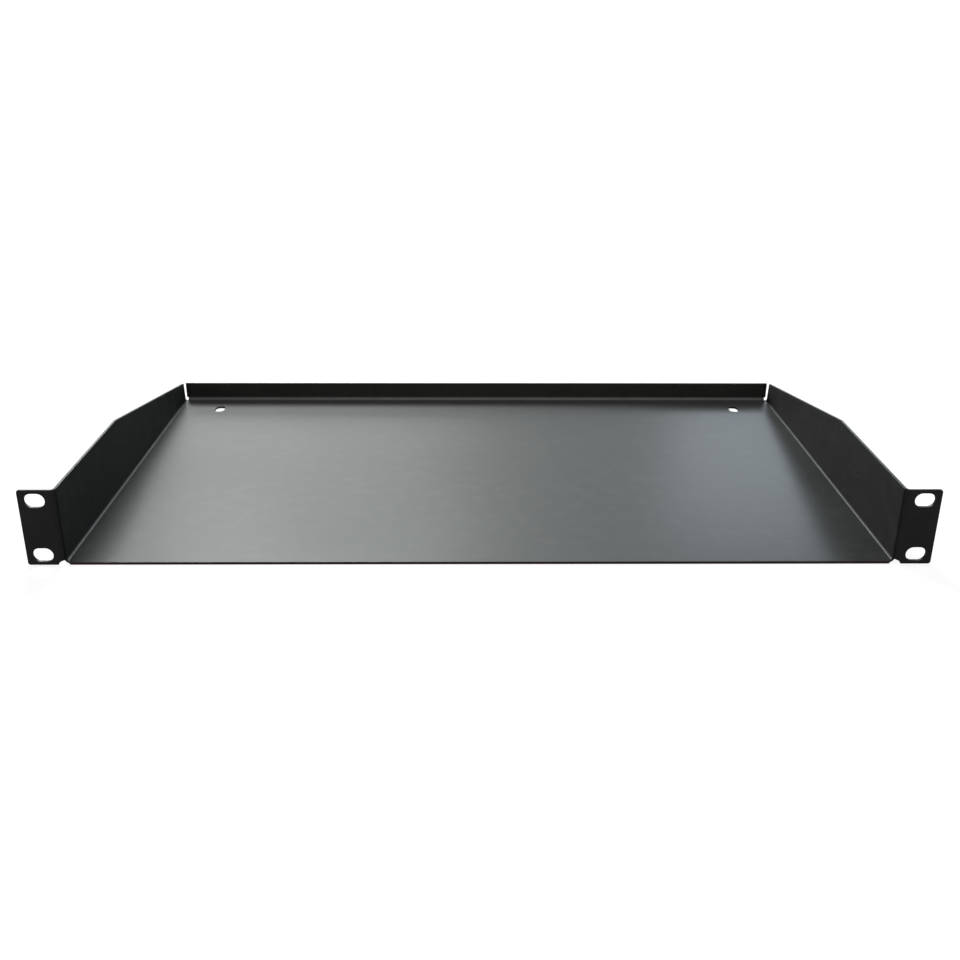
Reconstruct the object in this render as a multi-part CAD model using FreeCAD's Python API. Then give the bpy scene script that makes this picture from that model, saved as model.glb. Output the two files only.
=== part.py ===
import FreeCAD, Part
import math
import os
from FreeCAD import Vector

# A one-unit cantilever shelf for a 19 inch rack, folded from one sheet of steel: a tray floor with
# a low lip turned up along its back edge, a wing turned up along each side, and a mounting ear
# turned out from the front end of each wing.
# Frame: +X to the right, +Y into the rack, +Z up. The origin is the centre of the four ear slots,
# in the plane of the ears' rear faces, where the rack's rails bear.

# Driving sizes, in millimetres
panel_width = 482.6          # over both ears
panel_height = 43.7          # one rack unit, less its clearance
depth = 254.0                # front of the ears to the back of the lip
ear_width = 18.4             # outer face of a wing to the end of its ear
sheet = 1.5                  # thickness of the steel
bend_radius = 1.5            # inside radius of every fold

wing_level_run = 100.0       # front of the ears to where a wing's top edge starts to slope
wing_rear_height = 15.4      # a wing's height at its rear edge
wing_setback = 5.8           # rear end of a wing's top edge to the back of the lip
lip_height = 14.2
lip_inset = 1.8              # end of the lip to the outer face of the wing

ear_corner_radius = 1.5
ear_slot_length = 11.0
ear_slot_height = 8.0
ear_slot_side_margin = 8.75  # slot centre to the end of the ear
ear_slot_end_margin = 5.975  # slot centre to the ear's top or bottom edge

floor_slot_length = 11.0     # along Y
floor_slot_width = 7.0
floor_slot_side_margin = 31.6   # slot centre to the outer face of the wing
floor_slot_back_margin = 23.0   # slot centre to the back of the lip

# Reliefs where three faces meet, so that the folds don't tear the sheet
front_relief_clearance = 0.3    # radius of the round front relief beyond a fold's outer radius
front_relief_offset = 1.0       # its centre lies this far outside the sheet's front and lower edges
rear_notch_reach = 1.2          # the rear notch runs this far into the floor, ahead of the lip's fold
rear_notch_radius = 0.8         # at its inner corner

edge_round = 0.3                # powder coat rounds the cut edges that show this much

# Sizes that follow
outer_radius = bend_radius + sheet
half_panel = panel_width / 2
half_body = half_panel - ear_width
front_y = -sheet
rear_y = front_y + depth
bottom_z = -panel_height / 2
top_z = bottom_z + panel_height
fold_z = bottom_z + outer_radius        # where the floor's folds end and the upright faces start
fold_x = half_body - outer_radius       # where the flat floor ends and its side folds start
ear_fold_y = front_y + outer_radius
lip_fold_y = rear_y - outer_radius
wing_end_y = rear_y - wing_setback
rear_notch_y = lip_fold_y - rear_notch_reach
lip_end_x = half_body - lip_inset
front_relief_x = half_body - sheet / 2
front_relief_radius = outer_radius + front_relief_clearance
past = 1.0                   # how far a cutter runs past what it cuts
same_place = 1e-6


def same(one, other):
    """Whether two lengths are equal."""
    return abs(one - other) < same_place


def straight(start, end):
    """The edge from start to end, as a list that is empty where a fold leaves no flat between."""
    if start.distanceToPoint(end) < same_place:
        return []
    return [Part.LineSegment(start, end).toShape()]


def rounded_path(points, radius):
    """Edges along the points, with every corner between the two ends rounded to the radius."""
    edges = []
    start = points[0]
    for before, corner, after in zip(points, points[1:], points[2:]):
        way_in = (before - corner).normalize()
        way_out = (after - corner).normalize()
        half_angle = way_in.getAngle(way_out) / 2
        reach = radius / math.tan(half_angle)
        bisector = (way_in + way_out).normalize()
        arc_start = corner + way_in * reach
        arc_middle = corner + bisector * (radius / math.sin(half_angle) - radius)
        arc_end = corner + way_out * reach
        edges += straight(start, arc_start)
        edges.append(Part.Arc(arc_start, arc_middle, arc_end).toShape())
        start = arc_end
    return edges + straight(start, points[-1])


def folded(outside, inside, run):
    """A folded strip: a section between its outside and inside corner lines, extruded by run."""
    edges = rounded_path(outside, outer_radius) + straight(outside[-1], inside[-1])
    edges += rounded_path(inside[::-1], bend_radius) + straight(inside[0], outside[0])
    return Part.Face(Part.Wire(edges)).extrude(run)


def prism(points, run):
    """A flat outline extruded by run."""
    return Part.Face(Part.makePolygon(points + points[:1])).extrude(run)


def slot_cutter(centre, along, through, length, width):
    """A round-ended slot, centred at centre and running past the sheet on both sides."""
    radius = width / 2
    reach = along * (length / 2 - radius)
    side = along.cross(through) * radius
    tip = along * (length / 2)
    start = centre - through * (sheet + past)
    right, left = start + reach, start - reach
    outline = Part.Wire([
        Part.LineSegment(left + side, right + side).toShape(),
        Part.Arc(right + side, start + tip, right - side).toShape(),
        Part.LineSegment(right - side, left - side).toShape(),
        Part.Arc(left - side, start - tip, left + side).toShape(),
    ])
    return Part.Face(outline).extrude(through * 2 * (sheet + past))


def rounded_where(shape, shows):
    """The shape with its cut edges rounded where their middle point passes the test. The short
    edges across the sheet's thickness stay sharp."""
    edges = [edge for edge in shape.Edges
             if edge.Length > 1.1 * sheet and shows(edge.CenterOfMass)]
    return shape.makeFillet(edge_round, edges)


def both_sides(shape):
    """The shape on the right, and its mirror image on the left."""
    return [shape, shape.mirror(Vector(0, 0, 0), Vector(1, 0, 0))]


def floor_and_wings():
    """The U-shaped body, with the wings cut to their outline and all four corners relieved. The
    edges are rounded first, so that the rounds run out into the reliefs."""
    body = folded(
        [Vector(x, front_y, z) for x, z in (
            (-half_body, top_z), (-half_body, bottom_z), (half_body, bottom_z), (half_body, top_z))],
        [Vector(x, front_y, z) for x, z in (
            (-half_body + sheet, top_z), (-half_body + sheet, bottom_z + sheet),
            (half_body - sheet, bottom_z + sheet), (half_body - sheet, top_z))],
        Vector(0, lip_fold_y - front_y, 0))
    body = rounded_where(body, lambda middle: same(middle.y, front_y))

    left_x = -half_body - past
    across = Vector(2 * (half_body + past), 0, 0)
    ahead_of_wings = prism(
        [Vector(left_x, y, z) for y, z in (
            (front_y - past, fold_z), (ear_fold_y, fold_z),
            (ear_fold_y, top_z + past), (front_y - past, top_z + past))],
        across)
    above_and_behind_wings = prism(
        [Vector(left_x, y, z) for y, z in (
            (front_y + wing_level_run, top_z), (wing_end_y, bottom_z + wing_rear_height),
            (rear_notch_y, fold_z), (rear_y, fold_z),
            (rear_y, top_z + past), (front_y + wing_level_run, top_z + past))],
        across)

    body = rounded_where(
        body.cut([ahead_of_wings, above_and_behind_wings]),
        lambda middle: middle.z > bottom_z + wing_rear_height and not same(middle.y, ear_fold_y))

    front_relief = Part.makeCylinder(
        front_relief_radius, outer_radius + past,
        Vector(front_relief_x, front_y - front_relief_offset, bottom_z - past))
    return body.cut(both_sides(front_relief) + both_sides(rear_notch()))


def rear_notch():
    """Cutter for a rear corner: it keeps the two folds apart."""
    outer_x = half_body + past
    back_y = rear_y + past
    level = bottom_z - past
    edges = rounded_path(
        [Vector(fold_x, back_y, level), Vector(fold_x, rear_notch_y, level),
         Vector(outer_x, rear_notch_y, level)], rear_notch_radius)
    edges += straight(Vector(outer_x, rear_notch_y, level), Vector(outer_x, back_y, level))
    edges += straight(Vector(outer_x, back_y, level), Vector(fold_x, back_y, level))
    return Part.Face(Part.Wire(edges)).extrude(Vector(0, 0, outer_radius + past))


def rear_lip():
    """The fold at the back of the floor and the lip above it."""
    left_x = -lip_end_x
    strip = folded(
        [Vector(left_x, y, z) for y, z in (
            (lip_fold_y, bottom_z), (rear_y, bottom_z), (rear_y, bottom_z + lip_height))],
        [Vector(left_x, y, z) for y, z in (
            (lip_fold_y, bottom_z + sheet), (rear_y - sheet, bottom_z + sheet),
            (rear_y - sheet, bottom_z + lip_height))],
        Vector(2 * lip_end_x, 0, 0))
    strip = rounded_where(strip, lambda middle: same(middle.z, bottom_z + lip_height))
    return strip.cut(both_sides(rear_notch()))


def right_ear():
    """The fold at the front of the right wing and the slotted ear beyond it."""
    ear = folded(
        [Vector(x, y, bottom_z) for x, y in (
            (half_body - sheet, ear_fold_y), (half_body - sheet, front_y), (half_panel, front_y))],
        [Vector(x, y, bottom_z) for x, y in (
            (half_body, ear_fold_y), (half_body, front_y + sheet),
            (half_panel, front_y + sheet))],
        Vector(0, 0, panel_height))
    corners = [edge for edge in ear.Edges
               if same(edge.CenterOfMass.x, half_panel) and same(edge.Length, sheet)]
    ear = ear.makeFillet(ear_corner_radius, corners)
    ear = rounded_where(
        ear, lambda middle: same(middle.x, half_panel)
        or not (same(middle.y, ear_fold_y) or same(middle.z, 0)))

    relief = Part.makeCylinder(
        front_relief_radius, outer_radius + past,
        Vector(front_relief_x, front_y - past, bottom_z - front_relief_offset), Vector(0, 1, 0))
    slot_x = half_panel - ear_slot_side_margin
    slot_z = panel_height / 2 - ear_slot_end_margin
    slots = [slot_cutter(Vector(slot_x, front_y + sheet / 2, z), Vector(1, 0, 0), Vector(0, 1, 0),
                         ear_slot_length, ear_slot_height) for z in (-slot_z, slot_z)]
    return ear.cut([relief] + slots)


def folded_shelf():
    """The whole shelf as one solid."""
    floor_slot = slot_cutter(
        Vector(half_body - floor_slot_side_margin, rear_y - floor_slot_back_margin,
               bottom_z + sheet / 2),
        Vector(0, 1, 0), Vector(0, 0, 1), floor_slot_length, floor_slot_width)
    shelf = floor_and_wings().fuse([rear_lip()] + both_sides(right_ear()))
    return shelf.removeSplitter().cut(both_sides(floor_slot))


os.makedirs("parts", exist_ok=True)
shelf = folded_shelf()
shelf.exportStep("parts/folded_shelf.step")
print("solids", len(shelf.Solids), "volume", round(shelf.Volume), "box", shelf.BoundBox)
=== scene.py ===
import math

import bpy
from mathutils import Matrix, Vector


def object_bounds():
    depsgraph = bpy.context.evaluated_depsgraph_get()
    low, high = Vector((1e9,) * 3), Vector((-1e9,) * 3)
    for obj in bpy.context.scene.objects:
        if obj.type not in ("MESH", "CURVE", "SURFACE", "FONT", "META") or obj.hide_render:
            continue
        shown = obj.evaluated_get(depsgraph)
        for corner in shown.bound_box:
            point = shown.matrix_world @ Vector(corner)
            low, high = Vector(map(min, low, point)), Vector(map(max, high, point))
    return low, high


# A one-unit rack shelf of folded steel sheet in satin black powder coat, on a white studio floor.
# Everything is in metres, in the shelf's own frame: +X to the right, +Y into the rack, +Z up. The
# origin is the centre of the four ear slots, in the plane of the ears' rear faces.

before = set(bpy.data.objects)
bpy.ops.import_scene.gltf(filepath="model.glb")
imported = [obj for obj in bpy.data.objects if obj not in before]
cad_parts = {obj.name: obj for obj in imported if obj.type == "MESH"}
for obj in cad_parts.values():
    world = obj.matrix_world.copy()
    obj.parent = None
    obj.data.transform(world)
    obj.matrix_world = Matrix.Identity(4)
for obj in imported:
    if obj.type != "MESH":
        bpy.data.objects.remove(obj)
cad_low, cad_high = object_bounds()

NODE = "folded_shelf"
MM = 0.001
TRAY = Vector((0.0, 0.12, -0.02))    # the lamps face this point, low in the middle of the tray
SPOT_CORE = 0.4                      # share of a spot's radius that has its full strength

# The sheet's sizes that the dust, the wear and the painted light are placed by
SHEET = 1.5 * MM
EAR_WIDTH = 18.4 * MM

# Places on the shelf
TRAY_TOP = cad_low.z + SHEET
BODY_END = cad_high.x - EAR_WIDTH       # outer face of the right wing
WING_FACE = BODY_END - SHEET            # inner face of the right wing
LIP_FACE = cad_high.y - SHEET           # front of the lip
FRONT_EDGE = cad_low.y                  # cut edge of the tray floor, between the ears


# Camera

def add_camera():
    """The camera, a little above the shelf and close in front of it, turned down to the tray."""
    place = Vector((-0.0082, -0.4823, 0.2488))
    pitch, yaw, roll = (math.radians(a) for a in (21.10, 0.806, 0.315))
    data = bpy.data.cameras.new("camera")
    data.lens = 38.28
    data.sensor_width = 36.0
    data.shift_y = -0.0667
    data.clip_start = 0.01
    data.clip_end = 50.0
    camera = bpy.data.objects.new("camera", data)
    turn = (Matrix.Rotation(-yaw, 4, "Z") @ Matrix.Rotation(math.pi / 2 - pitch, 4, "X")
            @ Matrix.Rotation(roll, 4, "Z"))
    camera.matrix_world = Matrix.Translation(place) @ turn
    bpy.context.scene.collection.objects.link(camera)
    bpy.context.scene.camera = camera


add_camera()


# Node helpers

def new_material(name):
    """A new material and its empty node tree."""
    material = bpy.data.materials.new(name)
    material.use_nodes = True
    tree = material.node_tree
    tree.nodes.clear()
    return material, tree


def node(tree, kind, **settings):
    """A new shader node of the kind, with its settings made."""
    made = tree.nodes.new("ShaderNode" + kind)
    for key, value in settings.items():
        setattr(made, key, value)
    return made


def math_node(tree, operation, first, second):
    """The result of a Math node. Its inputs may be numbers."""
    made = node(tree, "Math", operation=operation)
    for socket, value in zip(made.inputs, (first, second)):
        if isinstance(value, (int, float)):
            socket.default_value = value
        else:
            tree.links.new(value, socket)
    return made.outputs[0]


def ranged(tree, value, low, high, to_low=0.0, to_high=1.0):
    """The value, mapped from low..high to to_low..to_high and kept within them."""
    mapped = node(tree, "MapRange")
    tree.links.new(value, mapped.inputs["Value"])
    for name, number in (("From Min", low), ("From Max", high),
                         ("To Min", to_low), ("To Max", to_high)):
        mapped.inputs[name].default_value = number
    return mapped.outputs["Result"]


def noise(tree, place, size, detail=2.0):
    """Noise whose features are about size across."""
    made = node(tree, "TexNoise")
    tree.links.new(place, made.inputs["Vector"])
    made.inputs["Scale"].default_value = 1 / size
    made.inputs["Detail"].default_value = detail
    return made.outputs["Fac"]


def spot(tree, place, centre, radius):
    """1 in the core of a round spot, falling to 0 at its radius."""
    away = node(tree, "VectorMath", operation="DISTANCE")
    tree.links.new(place, away.inputs[0])
    away.inputs[1].default_value = centre
    return ranged(tree, away.outputs["Value"], radius, SPOT_CORE * radius)


def tinted(tree, colour, mask, other):
    """The colour, turned to the other where the mask is 1."""
    mix = node(tree, "MixRGB")
    tree.links.new(mask, mix.inputs["Fac"])
    if isinstance(colour, tuple):
        mix.inputs["Color1"].default_value = colour
    else:
        tree.links.new(colour, mix.inputs["Color1"])
    mix.inputs["Color2"].default_value = other
    return mix.outputs["Color"]


# Floor and backdrop

def white_seen(tree, glow, albedo):
    """A pale surface that also glows for camera, glossy and transmission rays, so that it is seen
    as white, and the light that it takes still carries the shelf's shadow. Away from the shelf,
    where less lamp light falls, the glow grows to a full white."""
    near_shelf, well_away = 0.4, 1.8
    path = node(tree, "LightPath")
    seen = math_node(tree, "MAXIMUM", path.outputs["Is Camera Ray"], path.outputs["Is Glossy Ray"])
    seen = math_node(tree, "MAXIMUM", seen, path.outputs["Is Transmission Ray"])
    away = node(tree, "VectorMath", operation="LENGTH")
    tree.links.new(node(tree, "TexCoord").outputs["Object"], away.inputs[0])
    rising = ranged(tree, away.outputs["Value"], near_shelf, well_away, glow, 1.0)
    emission = node(tree, "Emission")
    tree.links.new(math_node(tree, "MULTIPLY", seen, rising), emission.inputs["Strength"])
    diffuse = node(tree, "BsdfDiffuse")
    diffuse.inputs["Color"].default_value = (albedo, albedo, albedo, 1)
    total = node(tree, "AddShader")
    tree.links.new(emission.outputs[0], total.inputs[0])
    tree.links.new(diffuse.outputs[0], total.inputs[1])
    out = node(tree, "OutputMaterial")
    tree.links.new(total.outputs[0], out.inputs["Surface"])


def add_backdrop():
    """A floor under the shelf that sweeps up into a wall behind it."""
    material, tree = new_material("studio_white")
    white_seen(tree, glow=0.88, albedo=0.2)
    half_width, near, far, sweep, height = 30.0, -30.0, 3.0, 0.8, 3.0
    steps = 16
    gap = 0.1 * MM      # so that the floor and the shelf's underside don't share a plane
    level = cad_low.z - gap
    angles = [math.pi / 2 * i / steps for i in range(1, steps + 1)]
    profile = [(near, level), (far - sweep, level)]
    profile += [(far - sweep + sweep * math.sin(angle), level + sweep - sweep * math.cos(angle))
                for angle in angles]
    profile.append((far, level + height))
    points = [(x, y, z) for y, z in profile for x in (-half_width, half_width)]
    faces = [(2 * i, 2 * i + 1, 2 * i + 3, 2 * i + 2) for i in range(len(profile) - 1)]
    mesh = bpy.data.meshes.new("backdrop")
    mesh.from_pydata(points, [], faces)
    mesh.shade_smooth()
    mesh.materials.append(material)
    backdrop = bpy.data.objects.new("backdrop", mesh)
    bpy.context.scene.collection.objects.link(backdrop)


add_backdrop()


# Lights

def softbox(name, place, width, height, radiance, tint=(1, 1, 1)):
    """A rectangular softbox that faces the tray. Its radiance is the brightness of its face, and
    its tint colours that."""
    data = bpy.data.lights.new(name, "AREA")
    data.shape = "RECTANGLE"
    data.size, data.size_y = width, height
    data.energy = radiance * width * height * math.pi
    data.color = tint
    lamp = bpy.data.objects.new(name, data)
    aim = (TRAY - Vector(place)).to_track_quat("-Z", "Y")
    lamp.matrix_world = Matrix.Translation(Vector(place)) @ aim.to_matrix().to_4x4()
    bpy.context.scene.collection.objects.link(lamp)


def add_lights():
    """Softboxes behind the shelf, low and high, brightest on the left, that the tray floor mirrors,
    a weak one above, two weak ones in front for the upright faces, and a dim room."""
    softbox("back_high", (-0.4, 1.4, 1.35), 0.8, 0.4, 27.0, tint=(0.96, 1.0, 0.96))
    softbox("back_left", (-0.6, 1.4, 0.95), 0.4, 0.35, 30.0, tint=(0.96, 1.0, 0.97))
    softbox("back_middle", (-0.2, 1.4, 0.95), 0.4, 0.35, 21.0, tint=(0.92, 1.0, 0.98))
    softbox("back_centre_right", (0.2, 1.4, 0.95), 0.4, 0.35, 6.5, tint=(0.9, 1.0, 1.0))
    softbox("back_right", (0.6, 1.4, 0.6), 0.4, 0.3, 12.0, tint=(0.87, 1.0, 1.1))
    softbox("back_low", (-0.4, 1.4, 0.3), 0.8, 0.25, 6.0, tint=(0.96, 1.0, 0.97))
    softbox("above", (0.0, 0.0, 1.6), 1.0, 0.8, 3.0)
    softbox("front_left", (-0.9, -1.0, 0.3), 0.5, 0.4, 4.0, tint=(1.0, 0.95, 0.87))
    softbox("front_right", (0.9, -1.0, 0.3), 0.5, 0.4, 2.5, tint=(1.0, 0.97, 0.9))
    room_strength = 0.1
    world = bpy.data.worlds.new("studio")
    world.use_nodes = True
    background = world.node_tree.nodes["Background"]
    background.inputs["Color"].default_value = (1, 1, 1, 1)
    background.inputs["Strength"].default_value = room_strength
    bpy.context.scene.world = world


add_lights()


# Powder coat

# Specks of dust in the coat, as place and radius
SPECKS = [
    ((181 * MM, 96 * MM, TRAY_TOP), 0.5 * MM),
    ((150 * MM, 66 * MM, TRAY_TOP), 0.45 * MM),
    ((209 * MM, 145 * MM, TRAY_TOP), 0.6 * MM),
    ((208 * MM, 109 * MM, TRAY_TOP), 0.7 * MM),
    ((212 * MM, 88 * MM, TRAY_TOP), 0.6 * MM),
    ((210 * MM, 73 * MM, TRAY_TOP), 0.5 * MM),
    ((209 * MM, 56 * MM, TRAY_TOP), 0.4 * MM),
    ((203 * MM, 20 * MM, TRAY_TOP), 0.5 * MM),
    ((WING_FACE, 160 * MM, 4 * MM), 0.6 * MM),
    ((WING_FACE, 61 * MM, 1 * MM), 0.5 * MM),
    ((WING_FACE, 62 * MM, -8 * MM), 0.4 * MM),
    ((WING_FACE, 15 * MM, 11 * MM), 0.4 * MM),
]
# A nick in the right fold, as place and radius
NICK = ((220.4 * MM, 32 * MM, TRAY_TOP + 0.7 * MM), 0.8 * MM)

BLACK = (0.0045, 0.0045, 0.0048, 1)
WORN_BLACK = (0.008, 0.008, 0.008, 1)
SCUFFED_BLACK = (0.011, 0.011, 0.0107, 1)
# Painted light: a lighter lip face, a lighter band on the tray ahead of the lip, and a painted
# highlight along the rear fold
PAINTED_LIGHT_LIP = (0.045, 0.045, 0.044, 1)
PAINTED_LIGHT_TRAY = (0.07, 0.07, 0.07, 1)
PAINTED_FOLD_HIGHLIGHT = (0.18, 0.18, 0.18, 1)
DUST = (0.09, 0.09, 0.085, 1)
PRIMER = (0.028, 0.009, 0.010, 1)
BARE = (0.3, 0.3, 0.3, 1)


def dust(tree, place):
    """1 on the placed specks, and less on a few finer ones scattered over the whole shelf."""
    cell = 30 * MM
    radius = 0.3 * MM / cell            # the texture measures distance in cells
    bare_below, full_above = 0.4, 0.9   # a cell's own random value says how strong its speck is
    strongest = 0.7
    cells = node(tree, "TexVoronoi")
    tree.links.new(place, cells.inputs["Vector"])
    cells.inputs["Scale"].default_value = 1 / cell
    channels = node(tree, "SeparateColor")
    tree.links.new(cells.outputs["Color"], channels.inputs["Color"])
    speck = ranged(tree, cells.outputs["Distance"], radius, SPOT_CORE * radius)
    strength = ranged(tree, channels.outputs["Red"], bare_below, full_above, 0.0, strongest)
    specks = math_node(tree, "MULTIPLY", speck, strength)
    for centre, speck_radius in SPECKS:
        specks = math_node(tree, "MAXIMUM", specks, spot(tree, place, centre, speck_radius))
    return specks


def painted_rear_light(tree, place, broken):
    """Masks and colours of painted light on the lip's face and on the tray ahead of it, and of a
    painted highlight along its fold, where it is brightest. The broken noise makes it uneven."""
    clear_of_wing = 4 * MM
    tray_reach, tray_full = 14 * MM, 4 * MM     # ahead of the lip
    back_reach, back_full = 1 * MM, 0.2 * MM    # behind the lip's face, so its back stays unpainted
    depth = 2 * MM                              # the tray's painted light lies below this height
    fold_radius = 2.2 * MM

    axes = node(tree, "SeparateXYZ")
    tree.links.new(place, axes.inputs[0])
    section = node(tree, "CombineXYZ")
    tree.links.new(axes.outputs["Y"], section.inputs["Y"])
    tree.links.new(axes.outputs["Z"], section.inputs["Z"])

    across = math_node(tree, "ABSOLUTE", axes.outputs["X"], 0.0)
    inside = ranged(tree, across, WING_FACE, WING_FACE - clear_of_wing)
    inside = math_node(tree, "MULTIPLY", inside, ranged(tree, broken, 0.3, 0.7, 0.8, 1.0))
    ahead = ranged(tree, axes.outputs["Y"], LIP_FACE - tray_reach, LIP_FACE - tray_full)
    behind = ranged(tree, axes.outputs["Y"], LIP_FACE + back_reach, LIP_FACE + back_full)
    lip = math_node(tree, "MULTIPLY", inside, math_node(tree, "MULTIPLY", ahead, behind))
    low = ranged(tree, axes.outputs["Z"], TRAY_TOP + depth, TRAY_TOP)
    fold = spot(tree, section.outputs[0], (0, LIP_FACE, TRAY_TOP), fold_radius)
    # Painted light on the lip's face and the tray ahead of it, and a painted highlight along the
    # rear fold
    return [
        (lip, PAINTED_LIGHT_LIP),
        (math_node(tree, "MULTIPLY", lip, low), PAINTED_LIGHT_TRAY),
        (math_node(tree, "MULTIPLY", inside, fold), PAINTED_FOLD_HIGHLIGHT),
    ]


def thin_coat(tree, place, broken):
    """1 on the front cut edge of the tray, where the coat is thin and its primer shows. The broken
    noise makes it uneven."""
    reach, full = 0.4 * MM, 0.1 * MM
    clear_of_ear = 1 * MM
    axes = node(tree, "SeparateXYZ")
    tree.links.new(place, axes.inputs[0])
    at_front = ranged(tree, axes.outputs["Y"], FRONT_EDGE + reach, FRONT_EDGE + full)
    across = math_node(tree, "ABSOLUTE", axes.outputs["X"], 0.0)
    between_ears = ranged(tree, across, BODY_END, BODY_END - clear_of_ear)
    edge = math_node(tree, "MULTIPLY", at_front, between_ears)
    return math_node(tree, "MULTIPLY", edge, ranged(tree, broken, 0.3, 0.6, 0.6, 1.0))


def coat_colour(tree, place, cloud, patch, specks, nick):
    """Black, worn and scuffed in patches, with painted light at the back of the tray, the dust,
    the primer and the nick over it.
    """
    colour = tinted(tree, BLACK, ranged(tree, cloud, 0.35, 0.65), WORN_BLACK)
    colour = tinted(tree, colour, ranged(tree, patch, 0.48, 0.68), SCUFFED_BLACK)
    # Painted light on the lip and the tray ahead of it, and a painted highlight along the rear fold
    for mask, tone in painted_rear_light(tree, place, patch):
        colour = tinted(tree, colour, mask, tone)
    colour = tinted(tree, colour, thin_coat(tree, place, patch), PRIMER)
    colour = tinted(tree, colour, specks, DUST)
    return tinted(tree, colour, nick, BARE)


def coat_roughness(tree, cloud, patch, specks):
    """Smoother on the level faces than on the upright ones, a little uneven, rough on dust."""
    upright, level, speck = 0.8, 0.55, 0.3
    gloss = math_node(tree, "ADD", ranged(tree, cloud, 0.3, 0.7, -0.012, 0.012),
                      ranged(tree, patch, 0.3, 0.7, -0.006, 0.006))
    facing = node(tree, "SeparateXYZ")
    tree.links.new(node(tree, "TexCoord").outputs["Normal"], facing.inputs[0])
    roughness = math_node(
        tree, "ADD", gloss, ranged(tree, facing.outputs["Z"], 0.3, 0.95, upright, level))
    return math_node(tree, "ADD", roughness, math_node(tree, "MULTIPLY", specks, speck))


def coat_bump(tree, peel, grain, specks, nick):
    """The orange peel and grain of the coat, its raised specks and the hollow of the nick. The
    weights are shares of the bump's distance."""
    distance = 0.02 * MM
    height = math_node(tree, "ADD", math_node(tree, "MULTIPLY", peel, 0.75),
                       math_node(tree, "MULTIPLY", grain, 0.15))
    height = math_node(tree, "ADD", height, math_node(tree, "MULTIPLY", specks, 0.8))
    height = math_node(tree, "SUBTRACT", height, math_node(tree, "MULTIPLY", nick, 4.0))
    bump = node(tree, "Bump")
    bump.inputs["Strength"].default_value = 1.0
    bump.inputs["Distance"].default_value = distance
    tree.links.new(height, bump.inputs["Height"])
    return bump.outputs["Normal"]


def powder_coat():
    """Satin black powder coat: a broad gloss under a weak sharper one, a faint orange peel with a
    fine grain, scuffs, dust, painted light on the lip and the back of the tray with a painted
    highlight along the rear fold, a nick in one fold and a thin place along the front edge."""
    material, tree = new_material("powder_coat")
    place = node(tree, "TexCoord").outputs["Object"]
    cloud = noise(tree, place, 70 * MM)
    patch = noise(tree, place, 9 * MM, detail=4.0)
    peel = noise(tree, place, 1.6 * MM)
    grain = noise(tree, place, 0.3 * MM, detail=1.0)
    specks = dust(tree, place)
    nick = spot(tree, place, *NICK)
    colour = coat_colour(tree, place, cloud, patch, specks, nick)
    roughness = coat_roughness(tree, cloud, patch, specks)
    bump = coat_bump(tree, peel, grain, specks, nick)

    coat = node(tree, "BsdfPrincipled")
    coat.inputs["Specular IOR Level"].default_value = 0.13
    coat.inputs["Coat Weight"].default_value = 0.11
    coat.inputs["Coat Roughness"].default_value = 0.27
    tree.links.new(colour, coat.inputs["Base Color"])
    tree.links.new(roughness, coat.inputs["Roughness"])
    tree.links.new(bump, coat.inputs["Normal"])
    tree.links.new(bump, coat.inputs["Coat Normal"])
    out = node(tree, "OutputMaterial")
    tree.links.new(coat.outputs[0], out.inputs["Surface"])
    return material


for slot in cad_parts[NODE].material_slots:
    slot.material = powder_coat()

bpy.context.scene.view_settings.view_transform = "Standard"
